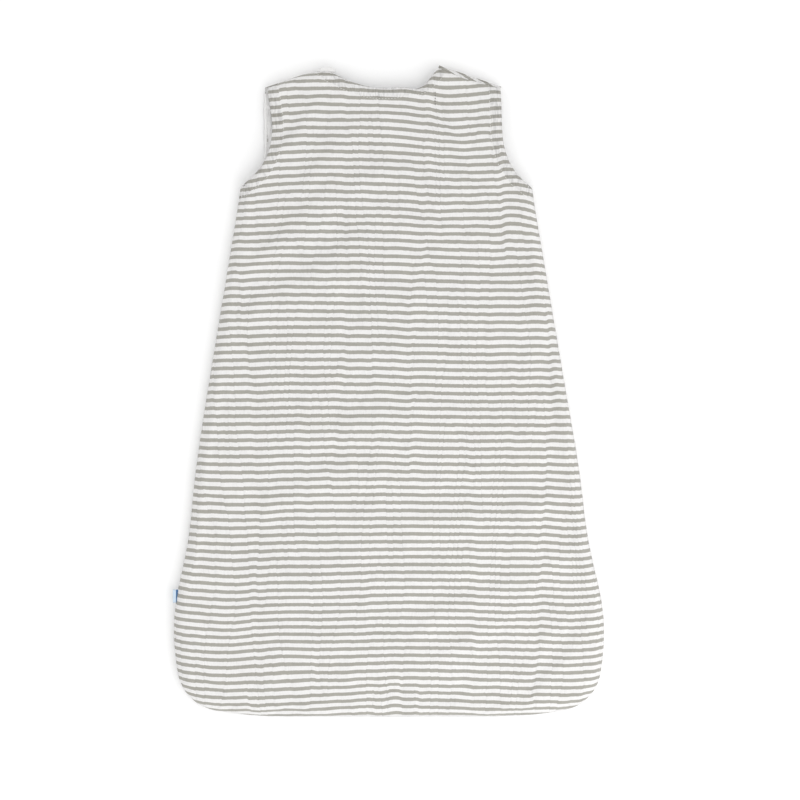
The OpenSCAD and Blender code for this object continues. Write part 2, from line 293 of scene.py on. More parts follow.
# a flat panel gridded from the flat face of a CAD node; returns the mesh and its outline's edges
def cutPanel(node, height):
    bm = bmesh.new()
    bm.from_mesh(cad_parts[node].data)
    bmesh.ops.delete(bm, geom=[v for v in bm.verts if abs(v.co.z - height) > 0.1 * mm], context="VERTS")
    bmesh.ops.remove_doubles(bm, verts=bm.verts, dist=0.01 * mm)
    bmesh.ops.dissolve_limit(bm, angle_limit=math.radians(0.3), verts=bm.verts, edges=bm.edges,
                             use_dissolve_boundaries=False)
    outline = [(np.array(e.verts[0].co.xy), np.array(e.verts[1].co.xy)) for e in bm.edges if e.is_boundary]
    low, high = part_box(node)
    for axis in (0, 1):
        for k in range(math.ceil(low[axis] / cloth["cell"]), math.floor(high[axis] / cloth["cell"]) + 1):
            place, normal = Vector((0, 0, height)), Vector((0, 0, 0))
            place[axis] = k * cloth["cell"]
            normal[axis] = 1
            geometry = bm.verts[:] + bm.edges[:] + bm.faces[:]
            bmesh.ops.bisect_plane(bm, geom=geometry, plane_co=place, plane_no=normal, dist=0.02 * mm)
    return bm, outline


edgeKinds = ("sewn", "open", "zip", "middle")


# what an edge of a shell's outline is: sewn to the other side, open, along the zip, or the seam below it
def edgeKind(edge):
    x, y = (edge[0] + edge[1]) / 2
    if abs(x) < 5.9 * mm and y < 0.29:
        return "zip" if y > zipWellY - 0.5 * mm else "middle" if y > -topY + 0.2 * mm else "sewn"
    neck = abs(x) < neckX - 0.1 * mm and y > 0.28
    arm = abs(x) > 0.1 and underarmY + 0.1 * mm < y < tipY - 0.1 * mm
    return "open" if neck or arm else "sewn"


# fall from the flat face towards an edge, 1 at the edge and 0 inside
def rollOff(d, reach):
    t = np.clip(1 - d / reach, 0, 1)
    return 1 - np.sqrt(np.clip(1 - t * t, 0, 1))


def panelHeights(points, edges, inner, outer):
    dSewn, dOpen, dZip, dMiddle = (toSegments(points, edges[kind])[0] for kind in edgeKinds)
    nearShoulder = fade(tipY - 30 * mm, tipY, points[:, 1])
    reach = cloth["sideRoll"] * (1 - 0.45 * nearShoulder)
    depth = abs(outer - seamZ) * rollOff(dSewn, reach)
    depth = np.maximum(depth, abs(outer - inner) * rollOff(dOpen, cloth["openRoll"]))
    depth = np.maximum(depth, abs(tapeZ - 0.3 * mm - outer) * rollOff(dZip, 2.2 * mm))
    depth = np.maximum(depth, 0.9 * mm * np.exp(-(dMiddle / (1.5 * mm)) ** 2))
    return outer - depth * math.copysign(1, outer - seamZ), dSewn, np.minimum(dOpen, dZip)


print("cutting the panels")
shellParts = [("back_shell", bagTop, True), ("front_shell_left", 0, False), ("front_shell_right", 0, False)]


# a panel's faces copied onto new points of another mesh, looking up or down, with their places as UV
def copyFaces(whole, bm, new, facesUp):
    uv = whole.loops.layers.uv.get("cut")
    bm.verts.index_update()
    copies = []
    for face in bm.faces:
        corners = [new[v.index] for v in face.verts]
        if (face.normal.z > 0) != facesUp:
            corners.reverse()
        made = whole.faces.new(corners)
        made.smooth = True
        copies.append(made)
        if uv is not None:
            for loop in made.loops:
                loop[uv].uv = loop.vert.co.xy
    return copies


# all three shell panels in one mesh, joined where they are sewn
def buildEnvelope():
    whole = bmesh.new()
    marks = whole.faces.layers.int.new("panel")
    whole.loops.layers.uv.new("cut")
    toSewn = whole.verts.layers.float.new("toSewn")
    toOpen = whole.verts.layers.float.new("toOpen")
    for index, (node, height, isBack) in enumerate(shellParts):
        bm, outline = cutPanel(node, height)
        edges = {kind: [e for e in outline if edgeKind(e) == kind] for kind in edgeKinds}
        points = np.array([v.co.xy for v in bm.verts])
        inner = backLiningZ + 0.4 * mm if isBack else frontLiningZ - 0.4 * mm
        z, dSewn, dOpen = panelHeights(points, edges, inner, bagTop - 0.4 * mm if isBack else 0.1 * mm)
        lx, ly = layPoints(points[:, 0], points[:, 1], isBack)
        new = []
        for i in range(len(points)):
            v = whole.verts.new((lx[i], ly[i], z[i]))
            v[toSewn], v[toOpen] = dSewn[i], dOpen[i]
            new.append(v)
        for face in copyFaces(whole, bm, new, isBack):
            face[marks] = index
        bm.free()
    edge = [v for v in whole.verts if v[toSewn] < 0.05 * mm or (abs(v.co.x) < 0.05 * mm and v.co.z < seamZ)]
    bmesh.ops.remove_doubles(whole, verts=edge, dist=0.05 * mm)
    bmesh.ops.dissolve_degenerate(whole, dist=1.6 * mm, edges=whole.edges)
    return meshFrom("envelope", whole)


def readVectors(mesh):
    flat = np.empty(len(mesh.vertices) * 3)
    mesh.vertices.foreach_get("co", flat)
    return flat.reshape(-1, 3)


def readLayer(mesh, name):
    values = np.empty(len(mesh.vertices))
    mesh.attributes[name].data.foreach_get("value", values)
    return values


drape = {
    "frames": 22,
    "quality": 6,
    "mass": 0.1,
    "stretch": 25,           # stiffness against stretch and squeeze
    "shear": 8,
    "bend": 0.25,
    "growth": -0.035,        # negative shrink: the panels grow
    "tight": 0.02,           # shrink along the edges
    "hold": 0.06,
    "sewnHold": 0.75,
    "openHold": 0.65,
    "mostMove": 2.3 * mm,
    "sideMove": 0.7,
}


# the panels are a little larger than their seams, so the cloth puckers along them
def simulate(mesh):
    start = readVectors(mesh)
    obj = link(bpy.data.objects.new("envelope", mesh))
    dSewn, dOpen = readLayer(mesh, "toSewn"), readLayer(mesh, "toOpen")
    under = fade(8 * mm, 2 * mm, start[:, 2])
    hold = np.maximum(drape["hold"], 0.5 * under)
    hold = np.where(dSewn < 1 * mm, drape["sewnHold"], hold)
    hold = np.where(dOpen < 1 * mm, drape["openHold"], hold)
    tight = fade(10 * mm, 0, np.minimum(dSewn, dOpen))
    for name, values in (("hold", hold), ("tight", tight)):
        group = obj.vertex_groups.new(name=name)
        for i, value in enumerate(values):
            group.add([i], float(value), "REPLACE")
    modifier = obj.modifiers.new("cloth", "CLOTH")
    settings = modifier.settings
    settings.quality = drape["quality"]
    settings.mass = drape["mass"]
    settings.tension_stiffness = settings.compression_stiffness = drape["stretch"]
    settings.shear_stiffness = drape["shear"]
    settings.bending_stiffness = drape["bend"]
    settings.vertex_group_mass = "hold"
    settings.pin_stiffness = 1.0
    settings.vertex_group_shrink = "tight"
    settings.shrink_min = drape["growth"]
    settings.shrink_max = drape["tight"]
    settings.effector_weights.gravity = 0
    modifier.collision_settings.use_collision = False
    for step in range(1, drape["frames"] + 1):
        scene.frame_set(step)
    graph = bpy.context.evaluated_depsgraph_get()
    done = readVectors(obj.evaluated_get(graph).data)
    scene.frame_set(1)
    bpy.data.objects.remove(obj)
    move = done - start
    move[:, :2] *= drape["sideMove"]
    size = np.linalg.norm(move, axis=1)
    print("simulated, mean and most move in mm:", round(size.mean() / mm, 2), round(size.max() / mm, 2))
    move *= (drape["mostMove"] * np.tanh(size / drape["mostMove"]) / np.maximum(size, 1e-9))[:, None]
    return start + move


envelope = buildEnvelope()
print("envelope", len(envelope.vertices), "vertices")
settled = simulate(envelope)

# materials

fabric = {
    "white": (0.782, 0.774, 0.767),
    "grey": (0.361, 0.35, 0.315),
    "lining": (0.81, 0.805, 0.795),
    "jogStep": 0.6 * mm,     # shift of the stripes across a pressed crinkle
    "threadPitch": 0.62 * mm,
    "crinkleHigh": 0.36 * mm,
    "threadHigh": 0.07 * mm,
    "pressDeep": 0.22 * mm,
    "puckerShadeFade": 1.5 * mm,   # over which the painted shade beside the open edges ends at its stitch line
    "ragged": 0.7 * mm,      # how far a stripe's edge wanders
    "softEdge": 0.028,       # half width of a stripe's soft edge, as a share of the repeat
}


def addNode(tree, kind, sockets=None, **settings):
    node = tree.nodes.new(kind)
    for name, value in settings.items():
        setattr(node, name, value)
    for name, value in (sockets or {}).items():
        if isinstance(value, bpy.types.NodeSocket):
            tree.links.new(value, node.inputs[name])
        else:
            node.inputs[name].default_value = value
    return node


def calc(tree, operation, a, b=0.0, c=0.0):
    node = addNode(tree, "ShaderNodeMath", {0: a, 1: b, 2: c}, operation=operation)
    return node.outputs[0]


def mixColor(tree, factor, a, b):
    node = addNode(tree, "ShaderNodeMix", {0: factor, 6: a, 7: b}, data_type="RGBA", blend_type="MIX")
    return node.outputs[2]


def mapRange(tree, value, fromMin, fromMax, toMin=0.0, toMax=1.0, **settings):
    sockets = {"Value": value, "From Min": fromMin, "From Max": fromMax, "To Min": toMin, "To Max": toMax}
    return addNode(tree, "ShaderNodeMapRange", sockets, **settings).outputs[0]


def scaled(tree, vector, factor):
    return addNode(tree, "ShaderNodeVectorMath", {0: vector, "Scale": factor}, operation="SCALE").outputs[0]


def addNoise(tree, vector, scale, detail, roughness=0.5):
    sockets = {"Vector": vector, "Scale": scale, "Detail": detail, "Roughness": roughness}
    return addNode(tree, "ShaderNodeTexNoise", sockets).outputs


# noise with its own scale along each axis
def stretchedNoise(tree, vector, scales, detail):
    mapping = addNode(tree, "ShaderNodeMapping", {"Vector": vector, "Scale": scales})
    return addNoise(tree, mapping.outputs[0], 1.0, detail)[0]


def addBump(tree, shader, height, strength=1.0):
    bump = addNode(tree, "ShaderNodeBump", {"Height": height, "Distance": 1.0, "Strength": strength})
    tree.links.new(bump.outputs[0], shader.inputs["Normal"])


def newGroup(name, inputs, outputs):
    group = bpy.data.node_groups.new(name, "ShaderNodeTree")
    for label, kind, value in inputs:
        socket = group.interface.new_socket(label, in_out="INPUT", socket_type=kind)
        if value is not None:
            socket.default_value = value
    for label, kind in outputs:
        group.interface.new_socket(label, in_out="OUTPUT", socket_type=kind)
    return group, group.nodes.new("NodeGroupInput").outputs, group.nodes.new("NodeGroupOutput").inputs


# two-layer gauze: crossing threads, crinkles that run up the cloth, pressed crinkles where it jogs,
# spots, and streaks along the weft
def gauzeGroup():
    inputs = [("Vector", "NodeSocketVector", None), ("Pitch", "NodeSocketFloat", 0.0006)]
    labels = ("Crinkle", "Thread", "Mottle", "Jog", "Press", "Weft")
    tree, given, out = newGroup("gauze", inputs, [(label, "NodeSocketFloat") for label in labels])
    vector = given["Vector"]
    bent = scaled(tree, addNoise(tree, vector, 90.0, 2.0)["Color"], 0.004)
    moved = addNode(tree, "ShaderNodeVectorMath", {0: vector, 1: bent}, operation="ADD").outputs[0]
    wide = stretchedNoise(tree, moved, (230.0, 62.0, 1.0), 3.0)
    fine = stretchedNoise(tree, moved, (620.0, 150.0, 1.0), 2.0)
    folded = calc(tree, "ABSOLUTE", calc(tree, "SUBTRACT", wide, 0.5))
    small = calc(tree, "MULTIPLY_ADD", fine, 0.6, 0.55)
    tree.links.new(calc(tree, "MULTIPLY_ADD", folded, -2.2, small), out["Crinkle"])
    lines = []
    parts = addNode(tree, "ShaderNodeSeparateXYZ", {0: vector})
    for axis in (0, 1):
        turns = calc(tree, "DIVIDE", parts.outputs[axis], given["Pitch"])
        lines.append(calc(tree, "SINE", calc(tree, "MULTIPLY", turns, 2 * math.pi)))
    over = calc(tree, "MULTIPLY", lines[0], lines[1])
    crossed = calc(tree, "MAXIMUM", over, calc(tree, "MULTIPLY", over, -0.7))
    tree.links.new(calc(tree, "MULTIPLY_ADD", crossed, 0.7, 0.3), out["Thread"])
    tree.links.new(addNoise(tree, moved, 34.0, 4.0, 0.6)[0], out["Mottle"])
    tree.links.new(stretchedNoise(tree, vector, (70.0, 1500.0, 1.0), 2.0), out["Weft"])
    # a pressed crinkle lies wherever a slow noise passes one of its levels
    climb = calc(tree, "MULTIPLY", stretchedNoise(tree, moved, (22.0, 3.0, 1.0), 1.4), 11.0)
    part = calc(tree, "FRACT", climb)
    step = mapRange(tree, part, 0.4, 0.6, interpolation_type="SMOOTHSTEP")
    tree.links.new(calc(tree, "SUBTRACT", step, part), out["Jog"])
    away = calc(tree, "ABSOLUTE", calc(tree, "SUBTRACT", part, 0.5))
    press = mapRange(tree, away, 0.0, 0.16, 1.0, 0.0, interpolation_type="SMOOTHSTEP")
    tree.links.new(press, out["Press"])
    return tree


# coloured weft stripes across the cloth, with edges as ragged as their threads
def stripeGroup():
    inputs = [("Vector", "NodeSocketVector", None), ("Period", "NodeSocketFloat", 0.008),
              ("Share", "NodeSocketFloat", 0.5), ("Phase", "NodeSocketFloat", 0.0),
              ("Shift", "NodeSocketFloat", 0.0)]
    tree, given, out = newGroup("stripes", inputs, [("Mask", "NodeSocketFloat")])
    parts = addNode(tree, "ShaderNodeSeparateXYZ", {0: given["Vector"]})
    rag = stretchedNoise(tree, given["Vector"], (420.0, 160.0, 1.0), 3.0)
    jitter = calc(tree, "MULTIPLY", calc(tree, "SUBTRACT", rag, 0.5), fabric["ragged"])
    jitter = calc(tree, "ADD", jitter, given["Shift"])
    height = calc(tree, "ADD", calc(tree, "SUBTRACT", parts.outputs[1], given["Phase"]), jitter)
    turn = calc(tree, "DIVIDE", height, given["Period"])
    near = calc(tree, "PINGPONG", turn, 0.5)  # 0 at the middle of a grey stripe
    edge = calc(tree, "MULTIPLY", given["Share"], 0.5)
    within = calc(tree, "SUBTRACT", edge, fabric["softEdge"])
    beyond = calc(tree, "ADD", edge, fabric["softEdge"])
    mask = mapRange(tree, near, within, beyond, 1.0, 0.0, interpolation_type="SMOOTHSTEP")
    tree.links.new(mask, out["Mask"])
    return tree


gauze = gauzeGroup()
stripes = stripeGroup()


# double gauze, striped or plain, from the cloth's own cut coordinates
def gauzeMaterial(name, white, grey=None, crinkle=1.0):
    material, tree, shader = newMaterial(name)
    vector = addNode(tree, "ShaderNodeUVMap", uv_map="cut").outputs[0]
    weave = addNode(tree, "ShaderNodeGroup", {"Vector": vector, "Pitch": fabric["threadPitch"]},
                    node_tree=gauze)

    def ranged(label, low, high, dark, light):
        return mapRange(tree, weave.outputs[label], low, high, dark, light)

    # painted shade: the colour is darkened in the crinkle valleys and along the pressed crinkles, following
    # the same patterns as the bump
    shade = calc(tree, "MULTIPLY", ranged("Crinkle", 0.2, 1.0, 0.93, 1.02),
                 ranged("Mottle", 0.3, 0.7, 0.975, 1.015))
    shade = calc(tree, "MULTIPLY", shade, ranged("Thread", 0, 1, 0.955, 1.035))
    shade = calc(tree, "MULTIPLY", shade, ranged("Press", 0, 1, 1.0, 0.97))
    color = white
    if grey:
        # the cloth is doubled and drawn up beside the open edges; painted shade darkens its puckers there,
        # most where the crinkles run low
        toOpen = addNode(tree, "ShaderNodeAttribute", attribute_name="toOpen").outputs["Fac"]
        edge = mapRange(tree, toOpen, cloth["stitchIn"], cloth["stitchIn"] - fabric["puckerShadeFade"])
        puckerShade = calc(tree, "MULTIPLY", ranged("Crinkle", 0.45, 0.95, 0.2, 0.0), edge)
        shade = calc(tree, "MULTIPLY", shade, calc(tree, "SUBTRACT", 1.0, puckerShade))
        shift = calc(tree, "MULTIPLY", weave.outputs["Jog"], fabric["jogStep"])
        lay = {"Vector": vector, "Shift": shift, "Period": cloth["period"], "Share": cloth["greyShare"],
               "Phase": cloth["phase"]}
        band = addNode(tree, "ShaderNodeGroup", lay, node_tree=stripes)
        dyed = scaled(tree, grey, ranged("Weft", 0.3, 0.7, 0.93, 1.07))
        color = mixColor(tree, band.outputs["Mask"], (*white, 1), dyed)
    tree.links.new(scaled(tree, color, shade), shader.inputs["Base Color"])
    crinkled = calc(tree, "MULTIPLY", weave.outputs["Crinkle"], fabric["crinkleHigh"] * crinkle)
    high = calc(tree, "MULTIPLY_ADD", weave.outputs["Thread"], fabric["threadHigh"], crinkled)
    addBump(tree, shader, calc(tree, "MULTIPLY_ADD", weave.outputs["Press"], -fabric["pressDeep"], high))
    tree.links.new(ranged("Thread", 0, 1, 0.95, 0.82), shader.inputs["Roughness"])
    shader.inputs["Specular IOR Level"].default_value = 0.25
    shader.inputs["Sheen Weight"].default_value = 0.15
    shader.inputs["Sheen Roughness"].default_value = 0.6
    return material


stripedMuslin = gauzeMaterial("stripedMuslin", fabric["white"], fabric["grey"])
plainMuslin = gauzeMaterial("plainMuslin", fabric["lining"], crinkle=0.7)


# colour with slow and fine variation, and a grain value for roughness and height, from Object coordinates
def grainGroup():
    inputs = [("Scale", "NodeSocketFloat", 1000.0), ("Stretch", "NodeSocketVector", None),
              ("Color", "NodeSocketColor", None), ("Depth", "NodeSocketFloat", 0.1)]
    outputs = [("Color", "NodeSocketColor"), ("Grain", "NodeSocketFloat")]
    tree, given, out = newGroup("grain", inputs, outputs)
    place = addNode(tree, "ShaderNodeTexCoord").outputs["Object"]
    stretched = addNode(tree, "ShaderNodeVectorMath", {0: place, 1: given["Stretch"]}, operation="MULTIPLY")
    fine = addNoise(tree, stretched.outputs[0], given["Scale"], 4.0)[0]
    slow = addNoise(tree, place, 60.0, 3.0)[0]
    both = calc(tree, "ADD", calc(tree, "MULTIPLY", fine, 0.6), calc(tree, "MULTIPLY", slow, 0.4))
    depth = calc(tree, "MULTIPLY", given["Depth"], 4.0)
    change = calc(tree, "MULTIPLY", calc(tree, "SUBTRACT", both, 0.5), depth)
    tree.links.new(scaled(tree, given["Color"], calc(tree, "ADD", change, 1.0)), out["Color"])
    tree.links.new(fine, out["Grain"])
    return tree


grain = grainGroup()


def grainMaterial(name, color, scale, stretch=(1, 1, 1), depth=0.1, rough=(0.4, 0.6), metal=0.0,
                  bump=0.02 * mm):
    material, tree, shader = newMaterial(name)
    sockets = {"Scale": scale, "Stretch": stretch, "Color": (*color, 1), "Depth": depth}
    group = addNode(tree, "ShaderNodeGroup", sockets, node_tree=grain)
    tree.links.new(group.outputs["Color"], shader.inputs["Base Color"])
    roughness = mapRange(tree, group.outputs["Grain"], 0.3, 0.7, rough[0], rough[1])
    tree.links.new(roughness, shader.inputs["Roughness"])
    addBump(tree, shader, calc(tree, "MULTIPLY", group.outputs["Grain"], bump))
    shader.inputs["Metallic"].default_value = metal
    return material


# woven ribbon: ribs along it, and an optional band of another colour near its fold
def ribbonMaterial(name, color, pitch, rough, bandColor=None, bandPlace=0.0, bandHalf=0.0):
    material, tree, shader = newMaterial(name)
    vector = addNode(tree, "ShaderNodeUVMap", uv_map="cut").outputs[0]
    weave = addNode(tree, "ShaderNodeGroup", {"Vector": vector, "Pitch": pitch}, node_tree=gauze)
    base = color
    if bandColor:
        along = addNode(tree, "ShaderNodeSeparateXYZ", {0: vector}).outputs[1]
        away = calc(tree, "ABSOLUTE", calc(tree, "SUBTRACT", along, bandPlace))
        mask = mapRange(tree, away, bandHalf, bandHalf * 1.1, 1.0, 0.0)
        base = mixColor(tree, mask, (*color, 1), (*bandColor, 1))
    tone = mapRange(tree, weave.outputs["Thread"], 0.0, 1.0, 0.84, 1.06)
    spots = mapRange(tree, weave.outputs["Mottle"], 0.0, 1.0, 0.95, 1.04)
    tree.links.new(scaled(tree, base, calc(tree, "MULTIPLY", tone, spots)), shader.inputs["Base Color"])
    addBump(tree, shader, calc(tree, "MULTIPLY", weave.outputs["Thread"], 0.3 * pitch), 0.8)
    roughness = mapRange(tree, weave.outputs["Thread"], 0.0, 1.0, rough + 0.1, rough)
    tree.links.new(roughness, shader.inputs["Roughness"])
    return material


tapeWeave = ribbonMaterial("tapeWeave", (0.60, 0.60, 0.585), 0.9 * mm, 0.7)
labelSatin = ribbonMaterial("labelSatin", (0.84, 0.84, 0.83), 0.35 * mm, 0.42)
tabWeave = ribbonMaterial("tabWeave", (0.66, 0.79, 0.92), 0.4 * mm, 0.5, (0.05, 0.16, 0.36),
                          14.6 * mm, 1.1 * mm)
waddingFibre = grainMaterial("waddingFibre", (0.86, 0.86, 0.85), 900.0, depth=0.12, rough=(0.9, 1.0),
                             bump=0.6 * mm)
toothPlastic = grainMaterial("toothPlastic", (0.66, 0.67, 0.67), 700.0, depth=0.06, rough=(0.32, 0.46))
satinMetal = grainMaterial("satinMetal", (0.62, 0.62, 0.60), 500.0, (1, 9, 1), 0.12, (0.26, 0.42), 1.0,
                           0.006 * mm)
whiteThread = grainMaterial("whiteThread", (0.80, 0.795, 0.78), 2500.0, depth=0.15, rough=(0.5, 0.7),
                            bump=0.05 * mm)
greyThread = grainMaterial("greyThread", (0.20, 0.19, 0.17), 2500.0, depth=0.2, rough=(0.5, 0.7),
                           bump=0.05 * mm)
softRubber = grainMaterial("softRubber", (0.36, 0.36, 0.34), 1500.0, depth=0.1, rough=(0.6, 0.75),
                           bump=0.03 * mm)

# the shell pieces


def panelObject(name, points, panel):
    bm = bmesh.new()
    bm.from_mesh(envelope)
    for v, point in zip(bm.verts, points):
        v.co = point
    marks = bm.faces.layers.int["panel"]
    bmesh.ops.delete(bm, geom=[f for f in bm.faces if f[marks] != panel], context="FACES")
    return meshObject(name, bm)


def applyModifiers(obj):
    graph = bpy.context.evaluated_depsgraph_get()
    shown = obj.evaluated_get(graph)
    mesh = bpy.data.meshes.new_from_object(shown, preserve_all_data_layers=True, depsgraph=graph)
    obj.modifiers.clear()
    old = obj.data
    obj.data = mesh
    bpy.data.meshes.remove(old)
    mesh.name = obj.name


def subdivide(obj):
    smooth = obj.modifiers.new("smooth", "SUBSURF")
    smooth.levels = smooth.render_levels = 1
    smooth.boundary_smooth = "PRESERVE_CORNERS"
    applyModifiers(obj)


def thicken(obj, thick, offset=-1):
    wall = obj.modifiers.new("wall", "SOLIDIFY")
    wall.thickness = thick
    wall.offset = offset
    wall.use_rim = True


def waves(points, scaleX, scaleY, seed):
    return np.array([noise.noise(Vector((x / scaleX, y / scaleY, seed))) for x, y in points])


# how much longer the cloth is than its width from above, at distance d from a rolled edge
def rolledExtra(d, reach, drop):
    steps = np.linspace(0, reach, 80)
    height = drop * rollOff(steps, reach)
    pieces = np.hypot(np.diff(steps), np.diff(height)) - np.diff(steps)
    beyond = np.concatenate([np.cumsum(pieces[::-1])[::-1], [0]])
    return np.interp(d, steps, beyond)


relief = {
    # height, reach in x, reach in y, in millimetres, and seed
    "crinkles": [(0.30, 8, 30, 1), (0.45, 24, 40, 5), (0.25, 14, 12, 9)],
    "hemPucker": 0.55 * mm,
    "stitchPucker": 0.3 * mm,
    "grooveDeep": 0.5 * mm,
    "grooveHalf": 1.6 * mm,
    "frontShare": 0.25,      # the front lies on the floor, so it is flatter
    "endShare": 0.45,        # of the roll's extra cloth that shows at the hem and the shoulders
}


# draws, creases, stitch grooves and crinkles raised on the fine mesh, and the stripes' own coordinates
def dressShell(obj, isBack):
    mesh = obj.data
    points = readVectors(mesh)
    normals = np.empty(len(points) * 3)
    mesh.vertices.foreach_get("normal", normals)
    corner = np.empty(len(mesh.loops), int)
    mesh.loops.foreach_get("vertex_index", corner)
    uv = mesh.uv_layers["cut"].uv
    flat = np.empty(len(corner) * 2)
    uv.foreach_get("vector", flat)
    base = np.empty((len(points), 2))
    base[corner] = flat.reshape(-1, 2)
    dSewn, dOpen = readLayer(mesh, "toSewn"), readLayer(mesh, "toOpen")
    sink, swell = drawnCloth(base[:, 0], base[:, 1])
    inside = fade(0, 14 * mm, np.minimum(dSewn, dOpen))
    crinkle = sum(up * mm * waves(base, x * mm, y * mm, seed) for up, x, y, seed in relief["crinkles"])
    hem = relief["hemPucker"] * waves(base, 5 * mm, 40 * mm, 12) * fade(16 * mm, 3 * mm, dSewn)
    hem = hem * fade(-0.28, -0.33, base[:, 1])
    crinkle += hem + relief["stitchPucker"] * waves(base, 30 * mm, 4 * mm, 15) * fade(14 * mm, 8 * mm, dOpen)
    groove = -relief["grooveDeep"] * np.exp(-((dOpen - cloth["stitchIn"]) / relief["grooveHalf"]) ** 2)
    high = swell * inside + crinkle * (0.35 + 0.65 * inside) + groove
    if not isBack:
        high *= relief["frontShare"]
    points += normals.reshape(-1, 3) * high[:, None]
    points[:, 2] = np.maximum(points[:, 2], 0.05 * mm)
    mesh.vertices.foreach_set("co", points.ravel())
    facing = fade(cloth["stitchIn"] + 0.6 * mm, cloth["stitchIn"] - 0.6 * mm, dOpen) * (base[:, 1] < tipY)
    jog = np.where(base[:, 0] < 0, 1.2 * mm, -0.7 * mm) * facing * (abs(base[:, 0]) > 0.09)
    seamExtra = rolledExtra(dSewn, cloth["sideRoll"], seamZ)
    openExtra = rolledExtra(dOpen, cloth["openRoll"], 5 * mm) * (base[:, 1] > 0.28)
    atEnd = np.maximum(fade(-0.29, -0.335, base[:, 1]), fade(0.3, 0.32, base[:, 1]))
    atNeck = (abs(base[:, 0]) < 0.075) & (base[:, 1] > 0.28)
    upward = np.sign(base[:, 1])
    cutX = base[:, 0] - softTable(layDrift, base[:, 1], 6 * mm)
    cutX += np.sign(base[:, 0]) * (seamExtra * (1 - atEnd) + openExtra * ~atNeck)
    cutY = base[:, 1] + sink + jog + upward * (relief["endShare"] * seamExtra * atEnd + openExtra * atNeck)
    cut = np.stack([cutX, cutY], 1)
    uv.foreach_set("vector", cut[corner].ravel())
    mesh.update()


# makes a piece one of the bag's: its material, the CAD nodes that it stands for, and its body
def finishPiece(obj, nodes, material, body="bag"):
    obj.data.materials.clear()
    obj.data.materials.append(material)
    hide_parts(*nodes)
    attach(obj, body)
    return obj


shellPieces = {}
for panel, (node, height, isBack) in enumerate(shellParts):
    name = ["backShell", "frontShellLeft", "frontShellRight"][panel]
    obj = panelObject(name, settled, panel)
    subdivide(obj)
    dressShell(obj, isBack)
    thicken(obj, cloth["shellThick"])
    finishPiece(obj, [node], stripedMuslin)
    shellPieces[name] = obj
print("shells")

# lining, facings and wadding

insides = {
    "liningThick": 0.5 * mm,
    "facingThick": 0.45 * mm,
    "liningCrinkle": 0.22 * mm,
    "waddingLump": 0.35 * mm,
}


# panels laid at the height of their CAD faces, with their sewn edges rolled to the seam
def layLayer(name, parts, reach, weld, crinkle, seed):
    whole = bmesh.new()
    whole.loops.layers.uv.new("cut")
    toSewn = whole.verts.layers.float.new("toSewn")
    for node, faceZ, lieZ, sewZ, isBack in parts:
        bm, outline = cutPanel(node, faceZ)
        middles = np.array([(a + b) / 2 for a, b in outline])
        near = toSegments(middles, seamLine)[0] < 1.7 * mm
        sewn = [e for e, isNear in zip(outline, near) if isNear]
        points = np.array([v.co.xy for v in bm.verts])
        d = toSegments(points, sewn)[0]
        z = lieZ + (sewZ - lieZ) * rollOff(d, reach)
        z += crinkle * waves(points, 9 * mm, 26 * mm, seed) * fade(0, 8 * mm, d)
        lx, ly = layPoints(points[:, 0], points[:, 1], isBack)
        if not weld:  # a lining is sewn just inside the shell's seam
            lx, ly = lx * 0.994, ly - 1.6 * mm * np.sign(ly) * fade(0.25, 0.34, abs(ly))
        new = []
        for i in range(len(points)):
            v = whole.verts.new((lx[i], ly[i], z[i]))
            v[toSewn] = d[i]
            new.append(v)
        copyFaces(whole, bm, new, not isBack)
        bm.free()
    if weld:
        sewnPoints = [v for v in whole.verts if v[toSewn] < 0.05 * mm]
        bmesh.ops.remove_doubles(whole, verts=sewnPoints, dist=0.6 * mm)
    bmesh.ops.dissolve_degenerate(whole, dist=1 * mm, edges=whole.edges)
    return meshObject(name, whole)


outlineOfBack = cutPanel("back_shell", bagTop)
outlineOfBack[0].free()
seamLine = [e for e in outlineOfBack[1] if edgeKind(e) == "sewn"]
liningMid = (backLiningZ + 0.4 * mm, frontLiningZ - 0.4 * mm)
facingMid = (backLiningZ - 0.3 * mm, frontLiningZ + 0.3 * mm)

linings = []
for name, node, isBack, area in (("backLining", "back_lining", True, 0.26),
                                 ("frontLiningLeft", "front_lining_left", False, 0.126),
                                 ("frontLiningRight", "front_lining_right", False, 0.126)):
    lieZ = liningMid[0 if isBack else 1]
    faceZ = backLiningZ if isBack else frontLiningZ
    sewZ = seamZ + (0.9 * mm if isBack else -0.9 * mm)
    obj = layLayer(name, [(node, faceZ, lieZ, sewZ, isBack)], 12 * mm, False, insides["liningCrinkle"], 2)
    thicken(obj, insides["liningThick"], 0)
    finishPiece(obj, [node], plainMuslin)
    linings.append(obj)

for name, node, length in (("neckFacing", "neck_facing", 0.30),
                           ("armholeFacingLeft", "armhole_facing_left", 0.32),
                           ("armholeFacingRight", "armhole_facing_right", 0.32)):
    parts = [(node, backLiningZ - 0.6 * mm, facingMid[0], seamZ, True),
             (node, frontLiningZ + 0.6 * mm, facingMid[1], seamZ, False)]
    obj = layLayer(name, parts, 3 * mm, True, 0.08 * mm, 4)
    thicken(obj, insides["facingThick"], 0)
    finishPiece(obj, [node], plainMuslin)


